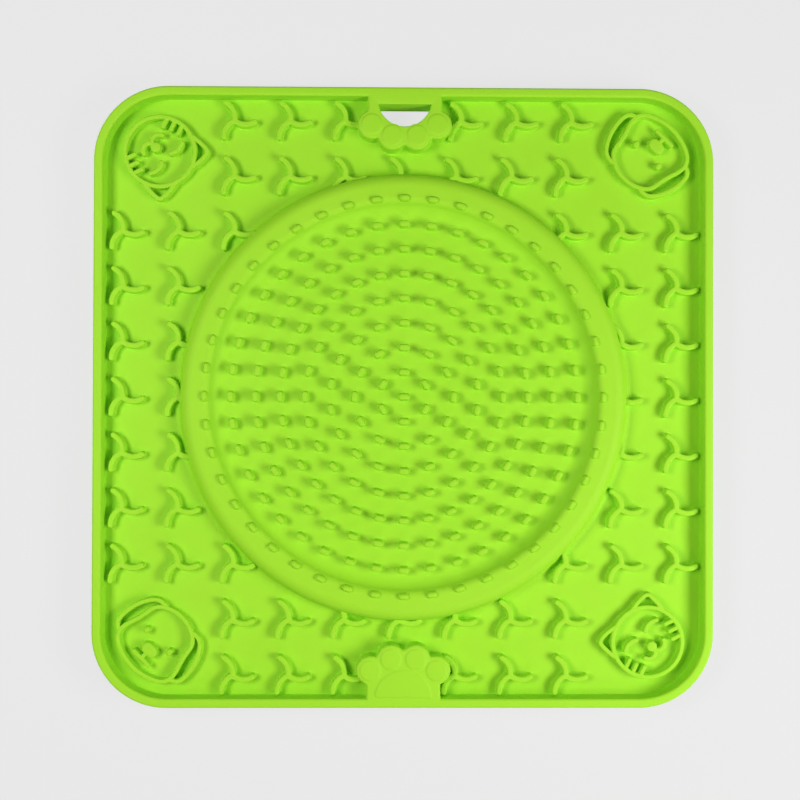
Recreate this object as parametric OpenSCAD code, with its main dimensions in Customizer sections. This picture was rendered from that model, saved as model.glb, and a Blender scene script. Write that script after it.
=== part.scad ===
// Square lick mat for a dog or a cat, moulded in one shot from lime green silicone.
// A low rim runs round a tray of three-armed ridges. In the middle a raised ring holds a
// shallow bowl full of nubs. Each corner has the line drawing of an animal's head, and a paw
// reaches in from the rim at the back, with a hanging hole, and at the front.
// Millimetres. +X is to the right, +Y to the hanging hole, +Z up, and the mat stands on z = 0.

/* [Mat] */
// Length of each side of the square mat
mat_side = 200; // [190:1:240]
// Radius of the outer corners
corner_r = 24; // [20:1:28]
// Thickness of the sheet, and of the wall of the raised bowl
sheet_t = 2.5; // [1.5:0.25:3.25]

/* [Rim] */
// Width of the rim
rim_w = 3; // [2:0.25:4.5]
// Height of the rim above the tray floor
rim_h = 5.5; // [4:0.25:8]
// Rounding of the two top edges of the rim
rim_edge_r = 0.8; // [0.3:0.1:0.9]
// Fillet at the inner foot of the rim
rim_foot_r = 1.8; // [0.5:0.1:2.5]

/* [Bowl] */
// Radius of the flat floor of the bowl
bowl_r = 58; // [48:0.5:61]
// Height of the bowl floor above the tray floor
bowl_lift = 2; // [1.5:0.25:3]
// Radius of the hollow slope from the bowl floor up to the ring
bowl_slope_r = 5; // [4.8:0.1:6.5]
// Height of the ring above the tray floor
ring_h = 6; // [5.5:0.25:6.5]
// Width of the ring, from its inner edge to its outer wall
ring_w = 9.6; // [8:0.1:10.5]
// Fillet at the outer foot of the ring; the rest of the outer side is a quarter round
ring_foot_r = 1.5; // [0.5:0.1:1.8]

/* [Nubs] */
// Length of a nub along its circle
nub_l = 3.2; // [2.4:0.1:4]
// Width of a nub
nub_w = 1.8; // [1.2:0.1:2.2]
// Height of a nub on the bowl floor
nub_h = 3.2; // [2:0.1:4]
// Height of a nub on the ring
crown_nub_h = 1.1; // [0.8:0.1:1.6]
// Distance of the outermost floor nubs from the edge of the floor
nub_edge = 2; // [1.5:0.1:4]
// Distance of the ring's nubs from the inner edge of the ring
crown_nub_in = 1.2; // [1.15:0.05:2]

/* [Ridges] */
// Spacing of the ridges, across and along the tray
ridge_pitch = 18; // [15:0.5:22]
// Straight distance from a ridge's middle to the tip of an arm
arm_l = 6.4; // [5:0.1:7]
// Depth of the bow of an arm
arm_sag = 1; // [0.6:0.1:1.6]
// Width of an arm
ridge_w = 1.6; // [1:0.1:2.2]
// Height of a ridge above the tray floor
ridge_h = 2.2; // [1.5:0.1:2.5]
// Turn of the three arms
ridge_turn = -4; // [-30:1:30]
// How far a ridge's middle lies left of the middle of its cell
ridge_left = 1.2; // [0:0.1:2]
// How far a ridge's middle lies in front of the middle of its cell
ridge_front = 0.35; // [0:0.05:1]
// Sideways step of the back row's ridges to the right of the hanging paw
back_row_step = 1.6; // [0:0.1:3]

/* [Animal heads] */
// Distance of a head's middle from the two sides of its corner
head_inset = 20.6; // [19.6:0.1:24]
// Radius of the cat's round head, at the middle of its line
head_r = 11.3; // [9:0.1:12]
// Width of the drawn lines
line_w = 1.4; // [1:0.1:1.8]
// Height of the drawn lines above the tray floor
line_h = 2.2; // [1.2:0.1:3]

/* [Paws] */
// Half of the width of a paw where it leaves the rim
paw_half_w = 12; // [10:0.25:13]
// Reach of a paw from the inner face of the rim
paw_reach = 17.3; // [16:0.1:18]
// Radius of the round end of a toe
toe_r = 4.6; // [4:0.1:5]
// Distance of the outer toes from the middle of the paw
toe_outer_x = 10.65; // [9.5:0.05:11]
// Distance of the inner toes from the middle of the paw
toe_inner_x = 4; // [3:0.05:4.6]
// How much shorter the outer toes are than the inner ones
toe_step = 3.6; // [2:0.1:4.5]
// Depth of the notch between the two inner toes
toe_notch = 1.4; // [0.8:0.1:2]
// Radius of a raised pad on a toe
pad_r = 3.6; // [2:0.1:3.7]
// Height of the raised pads
pad_h = 0.3; // [0.2:0.1:1]
// Radius of the half-round palm pad
palm_r = 9.5; // [7:0.1:9.6]
// Radius of the half-moon hanging hole
hole_r = 8.65; // [7:0.05:9]
// Depth of the hanging hole, from its straight side to the bottom of its arc
hole_depth = 7.1; // [5:0.1:7.5]
// Distance of the hole's straight side from the inner face of the rim
hole_inset = 2.6; // [2.5:0.1:3.5]

/* [Suction cups] */
// Diameter of a suction cup
cup_d = 18; // [14:0.5:20]
// Height of a suction cup
cup_h = 2.5; // [2:0.1:4]
// Diameter of the stem of a cup
cup_stem_d = 7; // [5:0.5:9]
// Height of the hollow of a cup
cup_hollow_h = 1.1; // [0.6:0.1:1.3]
// Thickness of the edge of a cup
cup_edge_t = 0.5; // [0.3:0.1:0.8]
// Width of the flat lip that a cup stands on
cup_lip_w = 0.5; // [0.3:0.1:1]
// Distance of the side cups from the side of the mat
cup_inset = 15; // [13.5:0.5:17]
// Distance of the side cups from the middle of their side
cup_off = 30; // [27:0.5:40]

/* [Hidden] */
$fn = 64;
green = [0.64, 0.91, 0.24];

// Levels, from the lips of the suction cups upwards
sheet_z = cup_h;
tray_z = sheet_z + sheet_t;
rim_z = tray_z + rim_h;
bowl_z = tray_z + bowl_lift;
ring_z = tray_z + ring_h;

// Plan sizes of the mat
half = mat_side / 2;
inner_half = half - rim_w;
corner_c = half - corner_r;
head_c = half - head_inset;

// The ring: the hollow slope meets the ring's top at its inner edge
bowl_depth = ring_h - bowl_lift;
ring_in = bowl_r + sqrt(pow(bowl_slope_r, 2) - pow(bowl_slope_r - bowl_depth, 2));
ring_out = ring_in + ring_w;
ring_edge_r = ring_h - ring_foot_r;
ring_foot = ring_out + ring_foot_r;

// Nubs on each circle of the floor, from the middle outwards, and on the ring
floor_nubs = [6, 12, 18, 24, 32, 36, 40];
crown_nubs = 44;
nub_pitch = (bowl_r - nub_edge) / len(floor_nubs);

// An arm of a ridge is an arc over its straight length
arms = 3;
arm_r = (pow(arm_l / 2, 2) + pow(arm_sag, 2)) / (2 * arm_sag);
arm_half_angle = asin(arm_l / 2 / arm_r);
ridge_room = arm_l / 2 + ridge_left + ridge_w;
// A ridge nearer the middle than this would be lost in the ring but for the tip of an arm
ridge_from = ring_foot + 2 * ridge_w - arm_l;

// The heads are drawn in millimetres for a cat's head of this radius
drawn_r = 11.3;
head_k = head_r / drawn_r;
ear_reach = 16.1 * head_k;
heads_from = head_c - ear_reach - ridge_room;
// Extra radius where two lines of a head meet
joint_swell = 0.05 * head_k;

// Toes, from the inner face of the rim
toe_inner_y = paw_reach - toe_r;
toe_outer_y = toe_inner_y - toe_step;
paw_tip = inner_half - paw_reach;

// Square with round corners
module rounded_square(side, r) {
  square([side, side - 2 * r], center = true);
  square([side - 2 * r, side], center = true);
  for (x = [-1, 1], y = [-1, 1])
    translate([x, y] * (side / 2 - r))
      circle(r);
}

// Band of width w along an arc of radius r round the origin, with square ends
module arc_band(r, w, from, to) {
  far = 2 * (r + w);
  middle = (from + to) / 2;
  intersection() {
    difference() {
      circle(r + w / 2);
      circle(r - w / 2);
    }
    polygon([
      [0, 0],
      far * [cos(from), sin(from)],
      far * [cos(middle), sin(middle)],
      far * [cos(to), sin(to)]
    ]);
  }
}

// Straight line of width w with square ends
module straight_line(p, q, w = line_w) {
  d = q - p;
  translate(p)
    rotate(atan2(d[1], d[0]))
      translate([0, -w / 2])
        square([norm(d), w]);
}

// The same line with round ends
module bar(p, q, w = line_w) {
  straight_line(p, q, w);
  for (end = [p, q])
    translate(end)
      circle(w / 2);
}

// Centre of the circle through three points
function circle_centre(a, b, c) =
  let (
    aa = a * a,
    bb = b * b,
    cc = c * c,
    d = 2 * (a[0] * (b[1] - c[1]) + b[0] * (c[1] - a[1]) + c[0] * (a[1] - b[1]))
  )
  [
    (aa * (b[1] - c[1]) + bb * (c[1] - a[1]) + cc * (a[1] - b[1])) / d,
    (aa * (c[0] - b[0]) + bb * (a[0] - c[0]) + cc * (b[0] - a[0])) / d
  ];

// Line of the drawing's width along the arc from a through b to c, with square ends
module arc_line(a, b, c) {
  centre = circle_centre(a, b, c);
  left_turn = cross(b - a, c - b) > 0;
  first = (left_turn ? a : c) - centre;
  last = (left_turn ? c : a) - centre;
  from = atan2(first[1], first[0]);
  span = (atan2(last[1], last[0]) - from + 720) % 360;
  translate(centre)
    arc_band(norm(first), line_w, from, from + span);
}

// The same line with round ends
module stroke(a, b, c) {
  arc_line(a, b, c);
  for (end = [a, c])
    translate(end)
      circle(line_w / 2);
}

// A shape and its mirror image to the left
module both_sides() {
  children();
  mirror([1, 0])
    children();
}

// Section of the rim: x = 0 is the outer face, and x runs outwards
module rim_section() {
  difference() {
    translate([-rim_w - rim_foot_r, tray_z])
      square([rim_foot_r, rim_foot_r]);
    translate([-rim_w - rim_foot_r, tray_z + rim_foot_r])
      circle(rim_foot_r);
  }
  translate([-rim_w, sheet_z])
    square([rim_w, rim_z - rim_edge_r - sheet_z]);
  translate([-rim_w + rim_edge_r, sheet_z])
    square([rim_w - 2 * rim_edge_r, rim_z - sheet_z]);
  for (x = [-rim_w + rim_edge_r, -rim_edge_r])
    translate([x, rim_z - rim_edge_r])
      circle(rim_edge_r);
}

// Rim: four straight sides and four round corners
module rim() {
  color(green)
    for (turn = [0:90:270])
      rotate(turn) {
        translate([half, corner_c, 0])
          rotate([90, 0, 0])
            linear_extrude(2 * corner_c)
              rim_section();
        translate([corner_c, corner_c, 0])
          rotate_extrude(angle = 90)
            translate([corner_r, 0])
              rim_section();
      }
}

// Half-moon hanging hole, with its straight side towards the rim
module hole_shape() {
  side_y = inner_half - hole_inset;
  intersection() {
    translate([0, side_y - hole_depth + hole_r])
      circle(hole_r);
    translate([-hole_r, side_y - hole_depth])
      square([2 * hole_r, hole_depth]);
  }
}

// Sheet inside the rim, open under the bowl and at the hanging hole
module base_sheet() {
  color(green)
    translate([0, 0, sheet_z])
      linear_extrude(sheet_t)
        difference() {
          rounded_square(2 * inner_half, corner_r - rim_w);
          circle(ring_foot);
          hole_shape();
        }
}

// Upright section from the floor's edge to the ring's outer side, with that side's quarter round,
// drawn in by a distance from the ring's surface
module ring_block(inset) {
  edge_c = [ring_out - ring_edge_r, ring_z - ring_edge_r];
  edge_r = ring_edge_r - inset;
  translate([bowl_r, sheet_z])
    square([edge_c[0] + edge_r - bowl_r, edge_c[1] - sheet_z]);
  translate([bowl_r, sheet_z])
    square([edge_c[0] - bowl_r, edge_c[1] + edge_r - sheet_z]);
  translate(edge_c)
    intersection() {
      circle(edge_r);
      square(edge_r);
    }
}

// Ring round the bowl: one even wall, so the underside has a groove that follows the top
module bowl_ring() {
  slope_c = [bowl_r, bowl_z + bowl_slope_r];
  color(green)
    rotate_extrude()
      difference() {
        union() {
          ring_block(0);
          ring_foot_section();
        }
        translate(slope_c)
          circle(bowl_slope_r);
        difference() {
          ring_block(sheet_t);
          translate(slope_c)
            circle(bowl_slope_r + sheet_t);
        }
      }
}

// Foot of the ring outside its wall: the edge of the sheet and the fillet above it
module ring_foot_section() {
  difference() {
    translate([ring_out, sheet_z])
      square([ring_foot_r, sheet_t + ring_foot_r]);
    translate([ring_foot, tray_z + ring_foot_r])
      circle(ring_foot_r);
  }
}

// Flat floor of the bowl, carried by the foot of the ring's slope
module bowl_floor() {
  color(green)
    translate([0, 0, bowl_z - sheet_t])
      cylinder(r = bowl_r, h = sheet_t);
}

// Section across a nub of height h: a half-round top, with straight sides where h leaves room.
// A low nub is only the cap of that round.
module nub_section(h) {
  side_h = h - nub_w / 2;
  if (side_h > 0)
    translate([-nub_w / 2, 0])
      square([nub_w, side_h]);
  intersection() {
    translate([0, side_h])
      circle(nub_w / 2);
    translate([-nub_w / 2, 0])
      square([nub_w, h]);
  }
}

// Half of that section, right of its middle line
module nub_half_section(h) {
  intersection() {
    nub_section(h);
    square([nub_w, h]);
  }
}

// One nub, longer across (along X) than it is wide
module nub(h) {
  straight = nub_l - nub_w;
  translate([-straight / 2, 0, 0])
    rotate([90, 0, 90])
      linear_extrude(straight)
        nub_section(h);
  for (end = [0, 180])
    rotate(end)
      translate([straight / 2, 0, 0])
        rotate(-90)
          rotate_extrude(angle = 180)
            nub_half_section(h);
}

// Circle of nubs, with one at the back of the mat
module nub_circle(r, count, h, z) {
  color(green)
    for (i = [0:count - 1])
      rotate(360 / count * i)
        translate([0, r, z])
          nub(h);
}

module nub_centre() {
  color(green)
    translate([0, 0, bowl_z])
      nub(nub_h);
}

// Floor circle number k, counted from the middle
module nub_ring(k) {
  nub_circle(k * nub_pitch, floor_nubs[k - 1], nub_h, bowl_z);
}

module nub_ring_crown() {
  nub_circle(ring_in + crown_nub_in, crown_nubs, crown_nub_h, ring_z);
}

// One ridge: three bowed arms that swirl from the middle
module ridge_shape() {
  circle(ridge_w / 2);
  for (i = [0:arms - 1])
    rotate(ridge_turn + 360 / arms * i) {
      translate([arm_l / 2, arm_r - arm_sag])
        arc_band(arm_r, ridge_w, 270 - arm_half_angle, 270 + arm_half_angle);
      translate([arm_l, 0])
        circle(ridge_w / 2);
    }
}

// A cell of the grid holds a ridge where the tray is free: past the ring, inside the rim, and
// clear of the animal heads and of the middle of the paws
function has_ridge(x, y) =
  norm([x, y]) > ridge_from
  && max(abs(x), abs(y)) < inner_half - ridge_room
  && min(abs(x), abs(y)) < heads_from
  && !(abs(x) < paw_half_w && abs(y) > paw_tip);

// Cells go to the back or front field, or to the left or right one
function side_of(x, y) =
  abs(y) > abs(x) + ridge_pitch / 2
    ? (y > 0 ? "back" : "front")
    : (x > 0 ? "right" : "left");

// What stands up from the tray and cuts the ridges: the ring, the rim and the paws
module tray_walls() {
  rotate_extrude() {
    translate([0, sheet_z])
      square([ring_out, ring_z - sheet_z]);
    ring_foot_section();
  }
  rim();
  for (turn = [0, 180])
    rotate(turn)
      translate([0, 0, tray_z])
        linear_extrude(rim_h)
          paw_shape();
}

// All ridges on one side of the tray
module ridge_field(side) {
  cells = floor(inner_half / ridge_pitch);
  color(green)
    difference() {
      translate([0, 0, tray_z])
        linear_extrude(ridge_h)
          for (i = [-cells:cells], j = [-cells:cells]) {
            cell = ridge_pitch * [i, j];
            step = j == cells && i > 0 ? back_row_step : 0;
            if (has_ridge(cell[0], cell[1]) && side_of(cell[0], cell[1]) == side)
              translate(cell + [step - ridge_left, -ridge_front])
                ridge_shape();
          }
      tray_walls();
    }
}

// Puts a drawing in a corner of the tray, with the top of the head towards the bowl
module in_corner(turn) {
  color(green)
    rotate(turn)
      translate([head_c, head_c, tray_z])
        rotate(135)
          linear_extrude(line_h)
            children();
}

// Cat's head: a circle with two ears and three whiskers on each cheek
module cat_outline() {
  ear_base = [5.1, 10.05] * head_k;
  ear_side = [1, 14.85] * head_k;
  ear_tip = [0, 15.3] * head_k;
  whisker_l = 3.2 * head_k;
  cheek = 109;
  whisker_step = 13.7;
  difference() {
    circle(head_r + line_w / 2);
    circle(head_r - line_w / 2);
  }
  both_sides() {
    rotate(-45) {
      arc_line([-ear_side[0], ear_side[1]], ear_tip, ear_side);
      both_sides() {
        straight_line(ear_base, ear_side);
        translate(ear_side)
          circle(line_w / 2 + joint_swell);
      }
    }
    for (i = [-1:1]) {
      root = head_r * [sin(cheek + i * whisker_step), cos(cheek + i * whisker_step)];
      bar(root, root - whisker_l * [sin(cheek), cos(cheek)]);
    }
  }
}

// Cat's closed eyes, nose and mouth
module cat_features() {
  nose_r = 1.75 * head_k;
  both_sides() {
    stroke([2.1, 3] * head_k, [4.6, 3.8] * head_k, [7.1, 3] * head_k);
    stroke([0, -4.1] * head_k, [2.1, -4.7] * head_k, [4.2, -3.3] * head_k);
  }
  translate([0, -2] * head_k)
    circle(nose_r);
}

// Dog's head: crown, sides, cheeks and jaw, and a hanging ear on each side
module dog_outline() {
  crown = [0, 11.2] * head_k;
  crown_end = [7.2, 8.75] * head_k;
  temple = [9.1, 5.25] * head_k;
  flare = [10.6, -1.35] * head_k;
  cheek = [11.4, -4.65] * head_k;
  jaw_end = [9.3, -8.75] * head_k;
  chin = [0, -11.35] * head_k;
  ear_root = [5.6, 9.8] * head_k;
  ear_bend = [11, 8.25] * head_k;
  ear_low = [14.2, -2.35] * head_k;
  ear_end = [11.25, -5.85] * head_k;
  arc_line([-crown_end[0], crown_end[1]], crown, crown_end);
  arc_line([-jaw_end[0], jaw_end[1]], chin, jaw_end);
  both_sides() {
    arc_line(crown_end, [8.5, 7.2] * head_k, temple);
    arc_line(temple, [9.6, 1.9] * head_k, flare);
    arc_line(flare, [11.1, -2.95] * head_k, cheek);
    arc_line(cheek, [10.9, -6.95] * head_k, jaw_end);
    arc_line(ear_root, [8.9, 9.9] * head_k, ear_bend);
    arc_line(ear_bend, [13.5, 3.25] * head_k, ear_low);
    arc_line(ear_low, [13.5, -4.8] * head_k, ear_end);
    for (joint = [crown_end, temple, flare, cheek, jaw_end, ear_bend, ear_low])
      translate(joint)
        circle(line_w / 2 + joint_swell);
  }
}

// Dog's eyes, nose and mouth
module dog_features() {
  eye_w = 1.9 * head_k;
  nose_h = 3.9 * head_k;
  both_sides()
    bar([5.1, 0.05] * head_k, [5.1, 0.55] * head_k, eye_w);
  bar([-0.9, -3.8] * head_k, [0.9, -3.8] * head_k, nose_h);
  bar([0, -5] * head_k, [0, -7.45] * head_k);
  bar([-3.3, -7.45] * head_k, [3.3, -7.45] * head_k);
}

// Middles of the four toes of the back paw
function toes() = [
  for (s = [-1, 1])
    for (toe = [[toe_outer_x, toe_outer_y], [toe_inner_x, toe_inner_y]])
      [s * toe[0], inner_half - toe[1]]
];

// Outline of the back paw: a broad tab from the rim, and four round toes
module paw_shape() {
  outer_y = inner_half - toe_outer_y;
  inner_y = inner_half - toe_inner_y;
  translate([-paw_half_w, outer_y])
    square([2 * paw_half_w, toe_outer_y]);
  polygon([
    [-toe_outer_x, outer_y],
    [-toe_inner_x, inner_y],
    [toe_inner_x, inner_y],
    [toe_outer_x, outer_y]
  ]);
  translate([-toe_inner_x, inner_y - toe_r + toe_notch])
    square([2 * toe_inner_x, toe_r - toe_notch]);
  for (toe = toes())
    translate(toe)
      circle(toe_r);
}

// Body of a paw: it stands on the sheet, as high as the rim, and fits the rim's foot
module paw_body() {
  difference() {
    translate([0, 0, tray_z])
      linear_extrude(rim_h)
        paw_shape();
    rim();
  }
}

// Raised pads on the toes of the back paw
module toe_pads() {
  for (toe = toes())
    translate([toe[0], toe[1], rim_z])
      cylinder(r = pad_r, h = pad_h);
}

module hanging_paw() {
  color(green)
    difference() {
      paw_body();
      translate([0, 0, sheet_z])
        linear_extrude(rim_z)
          hole_shape();
    }
}

module hanging_paw_toes() {
  color(green)
    toe_pads();
}

module front_paw() {
  color(green)
    rotate(180)
      paw_body();
}

module front_paw_toes() {
  color(green)
    rotate(180)
      toe_pads();
}

// Half-round palm, with its straight side along the rim
module front_paw_palm() {
  color(green)
    rotate(180)
      translate([0, inner_half, rim_z])
        linear_extrude(pad_h)
          intersection() {
            circle(palm_r);
            translate([-palm_r, -palm_r])
              square([2 * palm_r, palm_r]);
          }
}

// Suction cup: a stem under the sheet that spreads to a thin hollow cup with a flat lip
module suction_cup() {
  lip_r = cup_d / 2 - cup_lip_w;
  hollow_r = (pow(lip_r, 2) + pow(cup_hollow_h, 2)) / (2 * cup_hollow_h);
  shoulder_z = (cup_h + cup_hollow_h) / 2;
  rotate_extrude()
    difference() {
      polygon([
        [0, 0],
        [cup_d / 2, 0],
        [cup_d / 2, cup_edge_t],
        [cup_stem_d / 2, shoulder_z],
        [cup_stem_d / 2, cup_h],
        [0, cup_h]
      ]);
      translate([0, cup_hollow_h - hollow_r])
        circle(hollow_r, $fn = 256);
    }
}

module suction_cups_corner() {
  color(green)
    for (x = [-1, 1], y = [-1, 1])
      translate([x * head_c, y * head_c, 0])
        suction_cup();
}

module suction_cups_side() {
  color(green)
    for (turn = [0:90:270], s = [-1, 1])
      rotate(turn)
        translate([half - cup_inset, s * cup_off, 0])
          suction_cup();
}

base_sheet();
rim();
bowl_ring();
bowl_floor();
nub_centre();
nub_ring(1);  // nub_ring_1
nub_ring(2);  // nub_ring_2
nub_ring(3);  // nub_ring_3
nub_ring(4);  // nub_ring_4
nub_ring(5);  // nub_ring_5
nub_ring(6);  // nub_ring_6
nub_ring(7);  // nub_ring_7
nub_ring_crown();
ridge_field("back");  // ridges_back
ridge_field("front");  // ridges_front
ridge_field("left");  // ridges_left
ridge_field("right");  // ridges_right
in_corner(90) cat_outline();  // cat_outline_back_left
in_corner(90) cat_features();  // cat_features_back_left
in_corner(270) cat_outline();  // cat_outline_front_right
in_corner(270) cat_features();  // cat_features_front_right
in_corner(0) dog_outline();  // dog_outline_back_right
in_corner(0) dog_features();  // dog_features_back_right
in_corner(180) dog_outline();  // dog_outline_front_left
in_corner(180) dog_features();  // dog_features_front_left
hanging_paw();
hanging_paw_toes();
front_paw();
front_paw_toes();
front_paw_palm();
suction_cups_corner();
suction_cups_side();
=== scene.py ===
import math

import bpy
import mathutils
import numpy as np
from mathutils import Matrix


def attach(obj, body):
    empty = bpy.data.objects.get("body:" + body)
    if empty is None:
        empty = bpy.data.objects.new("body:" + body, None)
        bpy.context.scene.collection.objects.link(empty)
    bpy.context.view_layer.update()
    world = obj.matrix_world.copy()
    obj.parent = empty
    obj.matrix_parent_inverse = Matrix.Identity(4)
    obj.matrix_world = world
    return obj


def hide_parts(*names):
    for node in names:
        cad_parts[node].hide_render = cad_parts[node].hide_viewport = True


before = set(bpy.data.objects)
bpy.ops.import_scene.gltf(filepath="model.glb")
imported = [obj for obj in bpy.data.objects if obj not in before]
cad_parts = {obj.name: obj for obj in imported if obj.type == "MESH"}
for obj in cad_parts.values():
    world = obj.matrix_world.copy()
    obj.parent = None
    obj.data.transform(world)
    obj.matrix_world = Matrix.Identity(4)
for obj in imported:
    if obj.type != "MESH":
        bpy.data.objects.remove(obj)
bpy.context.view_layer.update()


# The sheet is the flat floor of the mat, cast in lime silicone together with all that
# stands on it. It keeps its moulded solid, and brings the finish that every feature
# shares: a matte skin with a fine grain and a faint cloudiness in the green.
LIME_LIGHT = (0.382, 0.768, 0.031, 1)
LIME_DEEP = (0.350, 0.740, 0.023, 1)
SKIN_IOR = 1.42
SKIN_SPECULAR = 0.24
SKIN_ROUGHNESS = (0.56, 0.68)
CLOUD_SCALE = 42
SHEEN_SCALE = 900
GRAIN_SCALE = 2600
GRAIN_DEPTH = 0.00004
GRAIN_STRENGTH = 0.25


def silicone_finish():
    """Lime silicone: wide clouds shift the green, mid noise shifts the gloss, and fine noise is
    the grain."""
    material = bpy.data.materials.new("lime_silicone")
    material.use_nodes = True
    nodes, links = material.node_tree.nodes, material.node_tree.links
    skin = nodes["Principled BSDF"]
    skin.inputs["IOR"].default_value = SKIN_IOR
    skin.inputs["Specular IOR Level"].default_value = SKIN_SPECULAR
    place = nodes.new("ShaderNodeTexCoord")

    def noise(scale, detail):
        texture = nodes.new("ShaderNodeTexNoise")
        texture.inputs["Scale"].default_value = scale
        texture.inputs["Detail"].default_value = detail
        links.new(place.outputs["Object"], texture.inputs["Vector"])
        return texture.outputs["Fac"]

    clouds = nodes.new("ShaderNodeMix")
    clouds.data_type = "RGBA"
    clouds.inputs["A"].default_value = LIME_DEEP
    clouds.inputs["B"].default_value = LIME_LIGHT
    links.new(noise(CLOUD_SCALE, 3), clouds.inputs["Factor"])
    links.new(clouds.outputs["Result"], skin.inputs["Base Color"])
    gloss = nodes.new("ShaderNodeMapRange")
    gloss.inputs["To Min"].default_value, gloss.inputs["To Max"].default_value = SKIN_ROUGHNESS
    links.new(noise(SHEEN_SCALE, 2), gloss.inputs["Value"])
    links.new(gloss.outputs["Result"], skin.inputs["Roughness"])
    grain = nodes.new("ShaderNodeBump")
    grain.inputs["Strength"].default_value = GRAIN_STRENGTH
    grain.inputs["Distance"].default_value = GRAIN_DEPTH
    links.new(noise(GRAIN_SCALE, 2), grain.inputs["Height"])
    links.new(grain.outputs["Normal"], skin.inputs["Normal"])
    return material


silicone = silicone_finish()


def keep_solid(node):
    """A flat feature keeps its solid and takes the silicone finish."""
    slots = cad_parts[node].data.materials
    slots.clear()
    slots.append(silicone)


keep_solid("base_sheet")


# The rim is the low wall round the sheet, moulded with it. Its top edges are rounded for
# the tongue, and a small fillet joins it to the tray floor.
MM = 0.001
SHARP_ANGLE = 52
TRAY_Z = 5.0
SHEET_Z = 2.5
RIM_Z = 10.5
HALF = 100.0
CORNER_R = 24.0
CORNER_STEPS = 33
RIM_W = 3.0
RIM_EDGE_R = 0.8
RIM_FOOT_R = 0.08
RIM_LAP = 0.5
UNDER_EDGE_R = 0.4
# A foot runs out this far under the floor, so that the two surfaces never lie in one plane
SUNK = 0.015
ROOT_DEPTH = 0.5


def arc(x, y, r, start, stop, steps):
    """Points on a circle round (x, y), from one angle to another in degrees."""
    angle = np.radians(np.linspace(start, stop, steps))
    return np.stack([x + r * np.cos(angle), y + r * np.sin(angle)], axis=1)


def tube_faces(rows, columns):
    """Four-sided faces of a grid that closes on itself both ways."""
    row, column = np.meshgrid(np.arange(rows), np.arange(columns), indexing="ij")
    on, up = (column + 1) % columns, (row + 1) % rows
    corners = [row * columns + column, row * columns + on]
    corners += [up * columns + on, up * columns + column]
    return np.stack(corners, axis=-1).reshape(-1, 4)


def moulded(node, points, *faces):
    """A moulded feature shown in place of its solid. Points are in millimetres, and each array
    of faces holds one face to a row. Faces are turned outwards by the sign of the volume."""
    points = points.reshape(-1, 3)
    volume = 0.0
    for side in faces:
        for k in range(1, side.shape[1] - 1):
            a, b, c = points[side[:, 0]], points[side[:, k]], points[side[:, k + 1]]
            volume += (a * np.cross(b, c)).sum()
    outwards = [side[:, ::-1] if volume < 0 else side for side in faces]
    mesh = bpy.data.meshes.new("moulded_" + node)
    rows = [row for side in outwards for row in side.tolist()]
    mesh.from_pydata((points * MM).tolist(), [], rows)
    mesh.shade_smooth()
    mesh.set_sharp_from_angle(angle=math.radians(SHARP_ANGLE))
    mesh.materials.append(silicone)
    piece = bpy.data.objects.new("moulded_" + node, mesh)
    bpy.context.scene.collection.objects.link(piece)
    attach(piece, "root")
    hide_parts(node)


def swept(path, normal, section):
    """A section carried along a path: out along the path's normal by the section's first number,
    and up by its second."""
    flat = path[:, None, :] + normal[:, None, :] * section[None, :, :1]
    height = np.broadcast_to(section[None, :, 1:], flat.shape[:2] + (1,))
    return np.concatenate([flat, height], axis=2)


def rounded_square(half, r, steps):
    """Path round a square with round corners, and its outward normals."""
    angle = np.radians(np.linspace(0, 90, steps))
    turn = np.radians(90 * np.arange(4))[:, None]
    normal = np.stack([np.cos(turn + angle), np.sin(turn + angle)], axis=-1)
    corner = (half - r) * math.sqrt(2)
    diagonal = turn + math.pi / 4
    middle = corner * np.stack([np.cos(diagonal), np.sin(diagonal)], axis=-1)
    return (middle + r * normal).reshape(-1, 2), normal.reshape(-1, 2)


rim_foot = RIM_W + RIM_FOOT_R
rim_section = np.concatenate([
    [[-RIM_W, SHEET_Z]],
    arc(-UNDER_EDGE_R, SHEET_Z + UNDER_EDGE_R, UNDER_EDGE_R, -90, 0, 6),
    arc(-RIM_EDGE_R, RIM_Z - RIM_EDGE_R, RIM_EDGE_R, 0, 90, 9),
    arc(RIM_EDGE_R - RIM_W, RIM_Z - RIM_EDGE_R, RIM_EDGE_R, 90, 180, 9),
    arc(-rim_foot, TRAY_Z + RIM_FOOT_R, RIM_FOOT_R, 0, -90, 12),
    [[-rim_foot - RIM_LAP, TRAY_Z - SUNK], [-rim_foot - RIM_LAP, TRAY_Z - ROOT_DEPTH]],
    [[-RIM_W, TRAY_Z - ROOT_DEPTH]],
])
rim_points = swept(*rounded_square(HALF, CORNER_R, CORNER_STEPS), rim_section)
moulded("rim", rim_points, tube_faces(*rim_points.shape[:2]))


# The bowl ring is a raised bead round the bowl, pressed up out of the sheet with one even
# wall, so its underside is a groove. A hollow slope runs from its inner edge to the bowl.
BOWL_R = 58.0
BOWL_Z = 7.0
RING_Z = 11.0
WALL = 2.5
SLOPE_R = 5.0
RING_LIP_R = 2.5
RING_OUT = 72.5
RING_EDGE_R = 4.5
RING_FOOT_R = 2.4
RING_DRAFT = 15.0
RING_LAP = 0.6
CROWN_INSET = 0.2
# The opening of the sheet, which the ring's underside fills up to a hair's gap
RING_SEAT_R = 74.0
SEAT_LAP = 0.3
SEAT_GAP = 0.02
RING_STEPS = 288


def revolved(section, steps):
    """A closed section of radius and height turned about the mat's upright axis."""
    angle = np.linspace(0, 2 * math.pi, steps, endpoint=False)
    outward = np.stack([np.cos(angle), np.sin(angle)], axis=1)
    return swept(np.zeros_like(outward), outward, section)


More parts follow.
